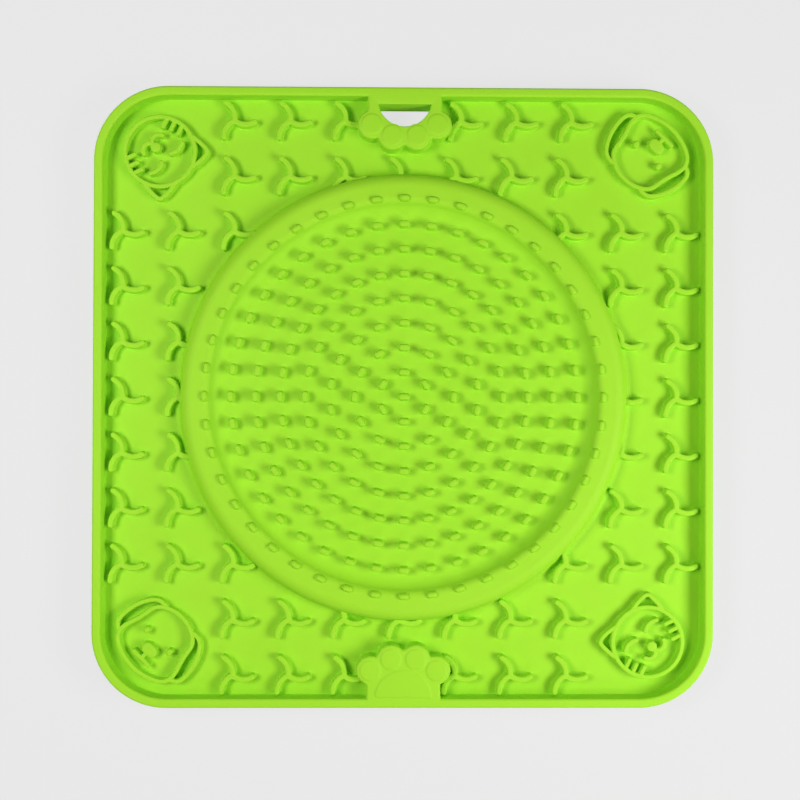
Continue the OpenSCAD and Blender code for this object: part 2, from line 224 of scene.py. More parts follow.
slope_top = RING_Z - BOWL_Z - SLOPE_R - RING_LIP_R
lip_x = BOWL_R + math.sqrt((SLOPE_R + RING_LIP_R) ** 2 - slope_top ** 2)
lip_angle = math.degrees(math.atan2(slope_top, lip_x - BOWL_R))
groove_top = RING_Z - WALL
groove_r = SLOPE_R + WALL
groove_angle = math.degrees(math.asin((groove_top - BOWL_Z - SLOPE_R) / groove_r))
edge_x, edge_z = RING_OUT - RING_EDGE_R, RING_Z - RING_EDGE_R
draft = math.radians(RING_DRAFT)
side_top = RING_Z - RING_EDGE_R * (1 - math.sin(draft))
side_foot = TRAY_Z + RING_FOOT_R * (1 - math.sin(draft))
ring_foot = edge_x + (RING_EDGE_R + RING_FOOT_R) * math.cos(draft)
ring_foot += (side_top - side_foot) * math.tan(draft)
ring_end, seat_end = ring_foot + RING_LAP, RING_SEAT_R + SEAT_LAP
ring_section = np.concatenate([
    [[BOWL_R - RING_LAP, BOWL_Z - SUNK]],
    arc(BOWL_R, BOWL_Z + SLOPE_R, SLOPE_R, -90, lip_angle, 20),
    arc(lip_x, RING_Z - RING_LIP_R, RING_LIP_R, 180 + lip_angle, 90, 8),
    [[lip_x + CROWN_INSET, RING_Z], [edge_x - CROWN_INSET, RING_Z]],
    arc(edge_x, edge_z, RING_EDGE_R, 90, RING_DRAFT, 20),
    arc(ring_foot, TRAY_Z + RING_FOOT_R, RING_FOOT_R, 180 + RING_DRAFT, 270, 12),
    [[ring_end, TRAY_Z - SUNK], [ring_end, TRAY_Z - ROOT_DEPTH]],
    [[seat_end, SHEET_Z + SEAT_LAP], [seat_end, SHEET_Z + SUNK]],
    [[RING_SEAT_R - SEAT_GAP, SHEET_Z], [RING_OUT - WALL, SHEET_Z]],
    arc(edge_x, edge_z, RING_EDGE_R - WALL, 0, 90, 10),
    arc(BOWL_R, BOWL_Z + SLOPE_R, groove_r, groove_angle, -90, 16),
    [[BOWL_R - RING_LAP, BOWL_Z - WALL + SUNK]],
])
ring_points = revolved(ring_section, RING_STEPS)
moulded("bowl_ring", ring_points, tube_faces(*ring_points.shape[:2]))


# The bowl floor is the flat disc inside the ring, a little higher than the tray. It keeps
# its moulded solid under the same silicone finish.
keep_solid("bowl_floor")


# The nubs are small upright ovals that hold the food, longer along their circle than across
# it. They are moulded with the bowl: seven circles round one nub, and low ones on the ring.
NUB_L = 3.2
NUB_W = 1.8
NUB_PITCH = 8.0
FLOOR_NUBS = [6, 12, 18, 24, 32, 36, 40]
CROWN_R = 64.1
CROWN_NUBS = 44
NUB_HALF_STEPS = 6
# Half width and height of a nub from its crest to under the floor that it grows from
NUB_SHAPE = np.array([[0.55, 3.35], [0.9, 3.22], [1.05, 2.85], [1.1, 0.5], [1.35, -0.03]])
CROWN_NUB_SHAPE = np.array([[0.3, 1.1], [0.68, 0.97], [0.95, 0.5], [1.15, 0.0], [1.3, -0.9]])


def mound_faces(rows, columns):
    """Faces of a mound: a grid closed round its outline, and a strip of four-sided faces across
    its top and its bottom row."""
    last = (rows - 1) * columns
    near = np.arange(columns // 2 - 1)
    strip = np.stack([near, near + 1, columns - 2 - near, columns - 1 - near], axis=1)
    return np.concatenate([tube_faces(rows, columns)[:last], strip[:, ::-1], strip + last])


def nub_shape(shape):
    """One nub at the origin: each row is the outline of a slot with round ends at that half
    width, at that height."""
    step = 180 / NUB_HALF_STEPS
    angle = np.radians(step * (np.arange(2 * NUB_HALF_STEPS) + 0.5) - 90)
    along = np.sign(np.cos(angle)) * (NUB_L - NUB_W) / 2
    x = along + shape[:, :1] * np.cos(angle)
    y = shape[:, :1] * np.sin(angle)
    return np.stack([x, y, np.broadcast_to(shape[:, 1:], x.shape)], axis=2)


def circle_of(shape, r, count, z):
    """Copies of a shape on a circle, each turned with its place, the first at the back."""
    turn = 2 * math.pi / count * np.arange(count)[:, None, None]
    x, y = shape[..., 0], shape[..., 1] + r
    placed = [x * np.cos(turn) - y * np.sin(turn), x * np.sin(turn) + y * np.cos(turn)]
    return np.stack(placed + [np.broadcast_to(shape[..., 2] + z, placed[0].shape)], axis=-1)


def repeated(faces, count, points_each):
    """The faces of one shape, again for each of its copies."""
    return (faces + points_each * np.arange(count)[:, None, None]).reshape(-1, faces.shape[1])


floor_nub, crown_nub = nub_shape(NUB_SHAPE), nub_shape(CROWN_NUB_SHAPE)
nub_faces = mound_faces(*floor_nub.shape[:2])
nub_points = floor_nub.shape[0] * floor_nub.shape[1]
moulded("nub_centre", circle_of(floor_nub, 0, 1, BOWL_Z), nub_faces)
for number, count in enumerate(FLOOR_NUBS, 1):
    placed_nubs = circle_of(floor_nub, number * NUB_PITCH, count, BOWL_Z)
    moulded(f"nub_ring_{number}", placed_nubs, repeated(nub_faces, count, nub_points))
placed_nubs = circle_of(crown_nub, CROWN_R, CROWN_NUBS, RING_Z)
moulded("nub_ring_crown", placed_nubs, repeated(nub_faces, CROWN_NUBS, nub_points))


# The ridges are three bowed arms that swirl from a middle, all turned the same way, in
# rows across the tray. Moulded with the sheet, they run into the ring, the rim and the paws.
RIDGE_PITCH = 18.0
RIDGE_CELLS = 5
RIDGE_MIDDLE = np.array([-1.2, -0.35])
BACK_ROW_STEP = 1.6
ARM_L = 6.4
ARM_SAG = 1.0
RIDGE_TURN = -4.0
RIDGE_HALF_W = 0.92
RIDGE_Z = 7.8
RIDGE_CREST_R = 0.5
RIDGE_FOOT_R = 0.3
RIDGE_FROM = 70.8
HEADS_FROM = 57.3
RIDGE_REACH = 91.0
IN_RING_WALL = 71.2
PAW_HALF_W = 12.0
PAW_TIP = 79.7
ARM_STEPS = 9
TIP_STEPS = 8
# A moulded line's flat crest, the lean of its flank, and the run-out of its foot
CREST_SHARE = 0.3
CREST_LEAST = 0.1
FLANK_LEAN = 0.05
LINE_LAP = 0.3
LINE_DEPTH = 0.4


def line_section(half_w, top, crest_r, foot_r):
    """Half width and height of a moulded line from crest to foot: a rounded crest, a steep flank
    and a fillet that runs out just under the tray floor."""
    end = half_w + foot_r + LINE_LAP
    return np.concatenate([
        [[CREST_SHARE * (half_w - crest_r) + CREST_LEAST, top]],
        arc(half_w - crest_r, top - crest_r, crest_r, 80, 8, 5),
        arc(half_w + foot_r + FLANK_LEAN, TRAY_Z + foot_r, foot_r, 180, 262, 6),
        [[end, TRAY_Z - SUNK], [end, TRAY_Z - LINE_DEPTH]],
    ])


def turned(points, degrees):
    """Flat points turned about the origin."""
    c, s = math.cos(math.radians(degrees)), math.sin(math.radians(degrees))
    return points @ np.array([[c, s], [-s, c]])


def ridge_outline(half_w):
    """Outline of one ridge at each half width. An arm is an arc, so its edges are arcs about the
    same centre; neighbouring arms meet where their edges cross, and a tip is a half circle."""
    bow_r = (ARM_L ** 2 / 4 + ARM_SAG ** 2) / (2 * ARM_SAG)
    centre = np.array([ARM_L / 2, bow_r - ARM_SAG])
    neighbour = turned(centre, 120)
    apart = np.linalg.norm(neighbour - centre)
    along = (neighbour - centre) / apart
    across = np.array([-along[1], along[0]])
    inner_r, outer_r = bow_r - half_w, bow_r + half_w
    reach = (inner_r ** 2 - outer_r ** 2 + apart ** 2) / (2 * apart)
    off = np.sqrt(inner_r ** 2 - reach ** 2)
    crotch = centre + reach[:, None] * along + off[:, None] * across
    crotch = np.where(np.linalg.norm(crotch, axis=1, keepdims=True) < ARM_L, crotch,
                      centre + reach[:, None] * along - off[:, None] * across)
    before = turned(crotch, -120)
    tip_angle = math.atan2(-centre[1], ARM_L - centre[0])
    start = np.arctan2(*(before - centre).T[::-1])
    stop = np.arctan2(*(crotch - centre).T[::-1])
    share = np.linspace(0, 1, ARM_STEPS, endpoint=False)
    right = start[:, None] + (tip_angle - start[:, None]) * share
    left = stop[:, None] + (tip_angle - stop[:, None]) * share[:0:-1]
    half_turn = tip_angle + np.linspace(0, math.pi, TIP_STEPS)
    spot = np.stack([np.cos(half_turn), np.sin(half_turn)], axis=1)
    arm = np.concatenate([
        centre + outer_r[:, None, None] * np.stack([np.cos(right), np.sin(right)], axis=2),
        np.array([ARM_L, 0]) + half_w[:, None, None] * spot,
        centre + inner_r[:, None, None] * np.stack([np.cos(left), np.sin(left)], axis=2),
    ], axis=1)
    return np.concatenate([turned(arm, RIDGE_TURN + 120 * k) for k in range(3)], axis=1)


def ridge_faces(rows, columns):
    """Faces of a ridge: a grid round its outline, and on its top and bottom a strip along each arm
    and a triangle in the middle."""
    arm = columns // 3
    near = np.arange(arm // 2)
    strip = np.stack([near, near + 1, arm - near - 1, arm - near], axis=1)
    strip = repeated(strip, 3, arm) % columns
    middle = np.array([[0, arm, 2 * arm]])
    last = (rows - 1) * columns
    quads = np.concatenate([tube_faces(rows, columns)[:last], strip[:, ::-1], strip + last])
    return quads, np.concatenate([middle[:, ::-1], middle + last])


ridge_section = line_section(RIDGE_HALF_W, RIDGE_Z, RIDGE_CREST_R, RIDGE_FOOT_R)
one_ridge = ridge_outline(ridge_section[:, 0])
ridge_quads, ridge_middles = ridge_faces(*one_ridge.shape[:2])
ridge_points = one_ridge.shape[0] * one_ridge.shape[1]
cell_x, cell_y = np.meshgrid(*[np.arange(-RIDGE_CELLS, RIDGE_CELLS + 1)] * 2, indexing="ij")
cells = RIDGE_PITCH * np.stack([cell_x, cell_y], axis=-1).reshape(-1, 2)
size = np.abs(cells)
free = (np.linalg.norm(cells, axis=1) > RIDGE_FROM) & (size.max(axis=1) < RIDGE_REACH)
free &= size.min(axis=1) < HEADS_FROM
free &= ~((size[:, 0] < PAW_HALF_W) & (size[:, 1] > PAW_TIP))
cells, size = cells[free], size[free]
upright = size[:, 1] > size[:, 0] + RIDGE_PITCH / 2
fields = {
    "ridges_back": upright & (cells[:, 1] > 0),
    "ridges_front": upright & (cells[:, 1] < 0),
    "ridges_left": ~upright & (cells[:, 0] < 0),
    "ridges_right": ~upright & (cells[:, 0] > 0),
}
step_aside = (cells[:, 1] > RIDGE_PITCH * (RIDGE_CELLS - 0.5)) & (cells[:, 0] > 0)
middles = cells + RIDGE_MIDDLE + np.outer(step_aside, [BACK_ROW_STEP, 0])
for node, chosen in fields.items():
    flat = middles[chosen][:, None, None, :] + one_ridge
    from_axis = np.linalg.norm(flat, axis=-1, keepdims=True)
    flat = flat * np.maximum(1, IN_RING_WALL / from_axis)
    height = np.broadcast_to(ridge_section[:, 1:, None], flat.shape[:3] + (1,))
    count = chosen.sum()
    moulded(node, np.concatenate([flat, height], axis=-1),
            repeated(ridge_quads, count, ridge_points),
            repeated(ridge_middles, count, ridge_points))


# The cats' heads fill two corners of the tray, drawn with raised lines of the same silicone:
# a round face with two ears and six whiskers, and inside it closed eyes, a nose and a mouth.
HEAD_C = 79.4
LINE_HALF_W = 0.70
LINE_CREST_R = 0.36
LINE_FOOT_R = 0.2
# A line that runs into another one is lower by this much, so that their tops don't coincide
BRANCH_DROP = 0.03
DOT_CREST_R = 0.6
DOT_FOOT_R = 0.25
CAT_R = 11.3
CAT_STEPS = 121
EAR_LEAN = 45
EAR_BASE = np.array([5.1, 10.05])
EAR_BOW = np.array([3.28, 12.67])
EAR_SIDE = np.array([1.03, 14.93])
EAR_TIP = np.array([0.0, 15.3])
WHISKER_L = 3.2
WHISKER_AIM = 109
WHISKER_ANGLES = WHISKER_AIM + 13.7 * np.arange(-1, 2)
CAT_EYE = [2.1, 3], [4.6, 3.8], [7.1, 3]
CAT_MOUTH = [0, -3.5], [2.15, -4.8], [4.2, -3.2]
CAT_NOSE_R = 1.75
CAT_NOSE = [-0.02, -2], [0.02, -2]
line_shape, branch_shape, low_shape = (
    line_section(LINE_HALF_W, RIDGE_Z - drop, LINE_CREST_R, LINE_FOOT_R)
    for drop in (0, BRANCH_DROP, 2 * BRANCH_DROP)
)
mirror = np.array([-1.0, 1.0])


def in_corner(points, turn):
    """A head's drawing put in a corner of the tray, with the top of the head towards the bowl."""
    flat = turned(turned(points[..., :2], 135) + HEAD_C, turn)
    return np.concatenate([flat, points[..., 2:]], axis=-1)


def along_path(path, closed):
    """Unit normals on the right of a path of points."""
    ahead = np.roll(path, -1, axis=0) - np.roll(path, 1, axis=0)
    if not closed:
        ahead[0], ahead[-1] = path[1] - path[0], path[-1] - path[-2]
    ahead = ahead / np.linalg.norm(ahead, axis=1, keepdims=True)
    return np.stack([ahead[:, 1], -ahead[:, 0]], axis=1)


def raised_line(path, shape=line_shape):
    """A moulded line with round ends: at each half width its outline runs up the right side of
    the path, round the end in a half circle, back on the left and round the start."""
    right = along_path(path, False)
    end = np.radians(np.linspace(0, 180, TIP_STEPS)[1:-1])
    ends = []
    for spot, side in ((path[-1], right[-1]), (path[0], -right[0])):
        ahead = np.array([-side[1], side[0]])
        half_circle = np.outer(np.cos(end), side) + np.outer(np.sin(end), ahead)
        ends.append((np.tile(spot, (len(end), 1)), half_circle))
    half = TIP_STEPS // 2 - 1
    spine = np.concatenate([path, ends[0][0], path[::-1], ends[1][0]])
    normal = np.concatenate([right, ends[0][1], -right[::-1], ends[1][1]])
    spine, normal = np.roll(spine, half, axis=0), np.roll(normal, half, axis=0)
    return swept(spine, normal, shape).transpose(1, 0, 2)


def closed_line(path):
    """A moulded line that closes on itself: the section and its mirror image round the path."""
    section = np.concatenate([line_shape * mirror, line_shape[::-1]])
    points = swept(path, along_path(path, True), section)
    return points, tube_faces(*points.shape[:2])


def joined(*lines):
    """Several lines as one mesh: their points after each other, and their faces counted on."""
    points, faces, so_far = [], [], 0
    for line in lines:
        is_closed = isinstance(line, tuple)
        line_points, line_faces = line if is_closed else (line, mound_faces(*line.shape[:2]))
        points.append(line_points.reshape(-1, 3))
        faces.append(line_faces + so_far)
        so_far += len(points[-1])
    return np.concatenate(points), np.concatenate(faces)


def straight(start, stop, steps=6):
    """Points of a straight line between two points."""
    share = np.linspace(0, 1, steps)[:, None]
    return np.asarray(start) * (1 - share) + np.asarray(stop) * share


def three_point_arc(start, middle, stop, steps=12):
    """Points of the circular arc from one point through a second to a third, round the centre
    that is as far from all three."""
    start, middle, stop = (np.asarray(p, float) for p in (start, middle, stop))
    a, b = middle - start, stop - start
    d = 2 * (a[0] * b[1] - a[1] * b[0])
    offset = np.array([b[1] * (a @ a) - a[1] * (b @ b), a[0] * (b @ b) - b[0] * (a @ a)]) / d
    centre, r = start + offset, np.linalg.norm(offset)
    first, last = (math.atan2(*(p - centre)[::-1]) for p in (start, stop))
    sense = 1 if d > 0 else -1
    sweep = (sense * (last - first)) % (2 * math.pi)
    angle = first + sense * np.linspace(0, sweep, steps)
    return centre + r * np.stack([np.cos(angle), np.sin(angle)], axis=1)


def heads(animal, lines, look, corners):
    """The same head in two corners of the tray: its outline and its features."""
    for node, turn in corners.items():
        for part, drawing in (("outline", lines), ("features", look)):
            points, faces = joined(*drawing)
            moulded(f"{animal}_{part}_{node}", in_corner(points, turn), faces)


ear = np.concatenate([
    three_point_arc(EAR_BASE, EAR_BOW, EAR_SIDE)[:-1],
    three_point_arc(EAR_SIDE, EAR_TIP, EAR_SIDE * mirror),
    three_point_arc(EAR_SIDE * mirror, EAR_BOW * mirror, EAR_BASE * mirror)[1:],
])
cat_lines = [
    closed_line(arc(0, 0, CAT_R, 0, 360, CAT_STEPS)[:-1]),
    raised_line(turned(ear, -EAR_LEAN), branch_shape),
    raised_line(turned(ear, EAR_LEAN), branch_shape),
]
aim = math.radians(WHISKER_AIM)
inward = np.array([math.sin(aim), math.cos(aim)])
for angle in np.radians(WHISKER_ANGLES):
    root = CAT_R * np.array([math.sin(angle), math.cos(angle)])
    whisker = straight(root, root - WHISKER_L * inward)
    cat_lines += [raised_line(whisker, branch_shape), raised_line(whisker * mirror, branch_shape)]
cat_eye, cat_mouth = three_point_arc(*CAT_EYE), three_point_arc(*CAT_MOUTH)
cat_nose_shape = line_section(CAT_NOSE_R, RIDGE_Z, DOT_CREST_R, DOT_FOOT_R)
cat_look = [
    raised_line(cat_eye),
    raised_line(cat_eye * mirror),
    raised_line(cat_mouth, branch_shape),
    raised_line(cat_mouth * mirror, low_shape),
    raised_line(straight(*CAT_NOSE, 2), cat_nose_shape),
]
heads("cat", cat_lines, cat_look, {"back_left": 90, "front_right": 270})


# The dogs' heads fill the other two corners in the same raised lines: a broad face with full
# cheeks, an ear that hangs down each side, round eyes, a nose and a mouth.
CROWN, CROWN_END, BROW, TEMPLE = [0, 11.2], [7.2, 8.75], [8.5, 7.2], [9.1, 5.25]
EYE_SIDE, FLARE, CHEEK_TOP, CHEEK = [9.6, 1.9], [10.6, -1.35], [11.1, -2.95], [11.4, -4.65]
JAW, JAW_END, CHIN = [10.9, -6.95], [9.3, -8.75], [0, -11.35]
EAR_ROOT, EAR_CREST, EAR_BEND = [5.6, 9.8], [8.9, 9.9], [11, 8.25]
EAR_FALL, EAR_LOW, EAR_FLAP, EAR_END = [13.5, 3.25], [14.2, -2.35], [13.5, -4.8], [11.25, -5.85]
DOG_EYE_R = 0.95
DOG_EYE = [5.1, 0.05], [5.1, 0.55]
DOG_NOSE_R = 1.95
DOG_NOSE = [-0.9, -3.8], [0.9, -3.8]
DOG_LIP = [0, -5], [0, -7.45]
DOG_MOUTH = [-3.3, -7.45], [3.3, -7.45]
EASE = 3
EASE_STEP = 0.4


def eased(path, closed):
    """A path with its joints eased: its points again at even distances along it, and then each
    point the weighted mean of its neighbours. An open path keeps its ends."""
    if closed:
        path = np.concatenate([path, path[:1]])
    length = np.concatenate([[0], np.cumsum(np.linalg.norm(np.diff(path, axis=0), axis=1))])
    at = np.linspace(0, length[-1], int(length[-1] / EASE_STEP) + 1)
    path = np.stack([np.interp(at, length, path[:, k]) for k in range(2)], axis=1)
    path = path[:-1] if closed else path
    reach = np.arange(-EASE, EASE + 1)
    index = np.arange(len(path))[:, None] + reach
    index = index % len(path) if closed else np.clip(index, 0, len(path) - 1)
    weight = (EASE + 1 - np.abs(reach)) / (EASE + 1) ** 2
    mean = (path[index] * weight[:, None]).sum(axis=1)
    if not closed:
        mean[0], mean[-1] = path[0], path[-1]
    return mean


right_side = np.concatenate([
    three_point_arc(CROWN_END * mirror, CROWN, CROWN_END, 23)[11:-1],
    three_point_arc(CROWN_END, BROW, TEMPLE)[:-1],
    three_point_arc(TEMPLE, EYE_SIDE, FLARE)[:-1],
    three_point_arc(FLARE, CHEEK_TOP, CHEEK)[:-1],
    three_point_arc(CHEEK, JAW, JAW_END)[:-1],
    three_point_arc(JAW_END, CHIN, JAW_END * mirror, 23)[:12],
])
ear_line = eased(np.concatenate([
    three_point_arc(EAR_ROOT, EAR_CREST, EAR_BEND)[:-1],
    three_point_arc(EAR_BEND, EAR_FALL, EAR_LOW)[:-1],
    three_point_arc(EAR_LOW, EAR_FLAP, EAR_END),
]), False)
dog_lines = [
    closed_line(eased(np.concatenate([right_side, right_side[-2:0:-1] * mirror]), True)),
    raised_line(ear_line, branch_shape),
    raised_line(ear_line * mirror, branch_shape),
]
dog_eye = straight(*DOG_EYE, 2)
dog_eye_shape, dog_nose_shape = (
    line_section(r, RIDGE_Z, DOT_CREST_R, DOT_FOOT_R) for r in (DOG_EYE_R, DOG_NOSE_R)
)
dog_look = [
    raised_line(dog_eye, dog_eye_shape),
    raised_line(dog_eye * mirror, dog_eye_shape),
    raised_line(straight(*DOG_NOSE, 2), dog_nose_shape),
    raised_line(straight(*DOG_LIP), branch_shape),
    raised_line(straight(*DOG_MOUTH)),
]
heads("dog", dog_lines, dog_look, {"back_right": 0, "front_left": 180})


# The paws are thick tabs that reach in from the rim and end in four round toes, as high as
# the rim. The back one has a half-moon hole that the mat hangs by, the front one a palm.
TOES = np.array([[-10.65, 87.9], [-4.0, 84.3]])
TOE_R = 4.6
NOTCH_R = 0.7
MIDDLE_NOTCH_R = 1.5
PAW_EDGE_R = 0.9
PAW_FOOT_R = 0.2
PAW_LAP = 0.2
PAW_DEPTH = 0.4
RIM_TOP_IN = HALF - RIM_W + RIM_EDGE_R
HOLE_SIDE_Y = 94.4
HOLE_ARC_Y = 95.95
HOLE_R = 8.65
HOLE_EYE = np.array([0.0, 91.4])
HOLE_EDGE_R = 0.4
LEAST_RISE = 0.01


def paw_outline():
    """Outline of a paw from the rim at the left to the rim at the right, as points and outward
    normals: straight sides, round toes and, in each notch, a small hollow arc that touches both
    of its neighbours."""
    far = TOE_R + NOTCH_R
    outer, inner = TOES
    shoulder = np.array([-PAW_HALF_W - NOTCH_R, 0.0])
    shoulder[1] = outer[1] + math.sqrt(far ** 2 - (shoulder[0] - outer[0]) ** 2)
    apart = inner - outer
    half_gap = np.linalg.norm(apart) / 2
    across_gap = np.array([apart[1], -apart[0]]) / (2 * half_gap)
    between = (outer + inner) / 2 + math.sqrt(far ** 2 - half_gap ** 2) * across_gap
    middle_drop = math.sqrt((TOE_R + MIDDLE_NOTCH_R) ** 2 - inner[0] ** 2)
    middle = np.array([0.0, inner[1] - middle_drop])

    def heading(start, stop):
        return math.degrees(math.atan2(*(stop - start)[::-1])) % 360

    def bend(centre, r, start, stop, steps, hollow):
        points = arc(*centre, r, start, stop, steps)
        outward = (points - centre) / r
        return points, (-outward if hollow else outward)

    side = straight([-PAW_HALF_W, RIM_TOP_IN], [-PAW_HALF_W, shoulder[1]], 5)[:-1]
    parts = [
        (side, np.tile([-1.0, 0.0], (len(side), 1))),
        bend(shoulder, NOTCH_R, 360, heading(shoulder, outer), 4, True),
        bend(outer, TOE_R, heading(outer, shoulder), heading(outer, between), 22, False),
        bend(between, NOTCH_R, heading(between, outer), heading(between, inner), 5, True),
        bend(inner, TOE_R, heading(inner, between), heading(inner, middle), 18, False),
        bend(middle, MIDDLE_NOTCH_R, heading(middle, inner), 90, 5, True),
    ]
    points, normal = (np.concatenate(values) for values in zip(*parts))
    across = np.linspace(1, -1, 16)[1:-1, None]
    rim_side = np.concatenate([PAW_HALF_W * across, np.full_like(across, RIM_TOP_IN)], axis=1)
    rim_normal = np.concatenate([across, np.zeros_like(across)], axis=1)
    points = np.concatenate([points, points[-2::-1] * mirror, rim_side])
    return points, np.concatenate([normal, normal[-2::-1] * mirror, rim_normal])


def half_moon(direction):
    """Distance from the middle of the hanging hole to its edge in each direction: the nearer of
    its straight side and its arc."""
    rise = np.sin(direction)
    to_side = (HOLE_SIDE_Y - HOLE_EYE[1]) / np.maximum(rise, LEAST_RISE)
    off = HOLE_ARC_Y - HOLE_EYE[1]
    to_arc = rise * off + np.sqrt((rise * off) ** 2 - off ** 2 + HOLE_R ** 2)
    return np.minimum(to_side, to_arc)


def hanging_rows(rows):
    """The back paw with its hole: after the paw's own rows, turned to start under the floor, come
    the top edge of the hole, rounded over, and its wall down to the sheet."""
    direction = np.arctan2(*(rows[0, :, :2] - HOLE_EYE).T[::-1])
    corner_x = math.sqrt(HOLE_R ** 2 - (HOLE_ARC_Y - HOLE_SIDE_Y) ** 2)
    for x in (corner_x, -corner_x):
        corner = math.atan2(HOLE_SIDE_Y - HOLE_EYE[1], x)
        direction[np.argmin(np.abs(direction - corner))] = corner
    edge = arc(HOLE_EDGE_R, RIM_Z - HOLE_EDGE_R, HOLE_EDGE_R, 90, 180, 5)
    edge = np.concatenate([edge, [[0, TRAY_Z]]])
    r = half_moon(direction) + edge[:, :1]
    flat = HOLE_EYE + r[:, :, None] * np.stack([np.cos(direction), np.sin(direction)], axis=1)
    wall = np.concatenate([flat, np.broadcast_to(edge[:, 1:, None], r.shape + (1,))], axis=2)
    return np.concatenate([rows[::-1], wall])


def lidded_faces(rows, columns):
    """Faces of a grid closed round its outline, with its first and last row each filled by one
    face."""
    last = (rows - 1) * columns
    lid = np.arange(columns)[None, :]
    return tube_faces(rows, columns)[:last], lid[:, ::-1], lid + last


# From a paw's top over its rounded edge, straight down the wall and out over its foot
paw_section = np.concatenate([
    arc(-PAW_EDGE_R, RIM_Z - PAW_EDGE_R, PAW_EDGE_R, 90, 0, 8),
    arc(PAW_FOOT_R, TRAY_Z + PAW_FOOT_R, PAW_FOOT_R, 180, 265, 7),
    [[PAW_FOOT_R + PAW_LAP, TRAY_Z - SUNK], [PAW_FOOT_R + PAW_LAP, TRAY_Z - PAW_DEPTH]],
])
half_turned = np.array([-1, -1, 1])
paw = swept(*paw_outline(), paw_section).transpose(1, 0, 2)
hanging = hanging_rows(paw)
moulded("hanging_paw", hanging, tube_faces(*hanging.shape[:2]))
moulded("front_paw", paw * half_turned, *lidded_faces(*paw.shape[:2]))


# Toe pads and the palm are low flat cushions on the paws' tops, part of the same moulding,
# with soft edges that only just catch the light.
PAD_R = 3.8
PAD_Z = 10.8
PAD_EDGE_W = 1.0
PAD_DEPTH = 0.2
PAD_STEPS = 49
PALM_R = 9.7
PALM_CORNER_R = 1.4


def cushion(outline, normal):
    """A low cushion: its outline moved in over an edge that falls as half a cosine wave, down to
    just under the paw's top, with flat ends."""
    fall = np.linspace(0, 1, 9)
    height = RIM_Z + (PAD_Z - RIM_Z) * (1 + np.cos(math.pi * fall)) / 2 - SUNK
    edge = np.stack([PAD_EDGE_W * (fall - 1), height], axis=1)
    section = np.concatenate([edge, [[0, RIM_Z - PAD_DEPTH]]])
    return swept(outline, normal, section).transpose(1, 0, 2)


def copies(points, places):
    """A lidded shape at each of several flat places: all its points, and the faces of each."""
    places = np.concatenate([places, np.zeros((len(places), 1))], axis=1)
    rows, columns = points.shape[:2]
    faces = [repeated(side, len(places), rows * columns) for side in lidded_faces(rows, columns)]
    return places[:, None, None, :] + points, faces


pad_turn = arc(0, 0, 1, 0, 360, PAD_STEPS)[:-1]
pad = cushion(PAD_R * pad_turn, pad_turn)
pads, pad_faces = copies(pad, np.concatenate([TOES, TOES * mirror]))
moulded("hanging_paw_toes", pads, *pad_faces)
moulded("front_paw_toes", pads * half_turned, *pad_faces)
corner_reach = PALM_R - PALM_CORNER_R
corner_x = math.sqrt(corner_reach ** 2 - PALM_CORNER_R ** 2)
corner_turn = math.degrees(math.asin(PALM_CORNER_R / corner_reach))
palm_side = straight([-corner_x, 0], [corner_x, 0], 12)[1:-1]
palm_bends = [
    (0, 0, PALM_R, corner_turn, 180 - corner_turn, 33),
    (-corner_x, PALM_CORNER_R, PALM_CORNER_R, 180 - corner_turn, 270, 9),
    (corner_x, PALM_CORNER_R, PALM_CORNER_R, 270, 360 + corner_turn, 9),
]
round_end, left_corner, right_corner = (arc(*bend) for bend in palm_bends)
end_normal, left_normal, right_normal = (arc(0, 0, 1, *bend[3:]) for bend in palm_bends)
side_normal = np.tile([0.0, -1.0], (len(palm_side), 1))
palm_outline = np.concatenate([round_end[:-1], left_corner, palm_side, right_corner[:-1]])
palm_normal = np.concatenate([end_normal[:-1], left_normal, side_normal, right_normal[:-1]])
palm = cushion(palm_outline + [0, RIM_W - HALF], palm_normal)
moulded("front_paw_palm", palm, *lidded_faces(*palm.shape[:2]))


# Suction cups under the sheet hold the mat to the floor: a short stem that spreads to a thin
# hollow cup with a flat lip. They are moulded with the sheet, and not seen in the photograph.
CUP_R = 9.0
CUP_STEM_R = 3.5
CUP_CORE_R = 0.3
CUP_ROOT = 0.2
CUP_FILLET_R = 0.4
CUP_FILLET_RISE = 0.35
CUP_HOLLOW = 1.1
CUP_LIP = 0.5
CUP_EDGE_T = 0.5
CUP_EDGE_R = 0.2
CUP_CHAMFER = 0.05
CUP_STEPS = 64
SIDE_CUP = np.array([85.0, 30.0])
hollow_r = ((CUP_R - CUP_LIP) ** 2 + CUP_HOLLOW ** 2) / (2 * CUP_HOLLOW)
hollow_end = math.degrees(math.asin((CUP_R - CUP_LIP) / hollow_r))
shoulder_z = (SHEET_Z + CUP_HOLLOW) / 2 + CUP_FILLET_RISE
cup_section = np.concatenate([
    [[CUP_CORE_R, SHEET_Z + CUP_ROOT], [CUP_STEM_R, SHEET_Z + CUP_ROOT]],
    arc(CUP_STEM_R + CUP_FILLET_R, shoulder_z, CUP_FILLET_R, 180, 262, 5),
    arc(CUP_R - CUP_EDGE_R, CUP_EDGE_T - CUP_EDGE_R, CUP_EDGE_R, 80, 0, 4),
    [[CUP_R, CUP_CHAMFER], [CUP_R - CUP_CHAMFER, 0]],
    arc(0, CUP_HOLLOW - hollow_r, hollow_r, 90 - hollow_end, 89.5, 12),
])
cup = revolved(cup_section, CUP_STEPS).transpose(1, 0, 2)
signs = np.array([[1, 1], [-1, 1], [-1, -1], [1, -1]])
cup_places = {
    "suction_cups_corner": signs * HEAD_C,
    "suction_cups_side": np.concatenate([signs * SIDE_CUP, signs * SIDE_CUP[::-1]]),
}
for node, places in cup_places.items():
    cups, cup_faces = copies(cup, places)
    moulded(node, cups, *cup_faces)


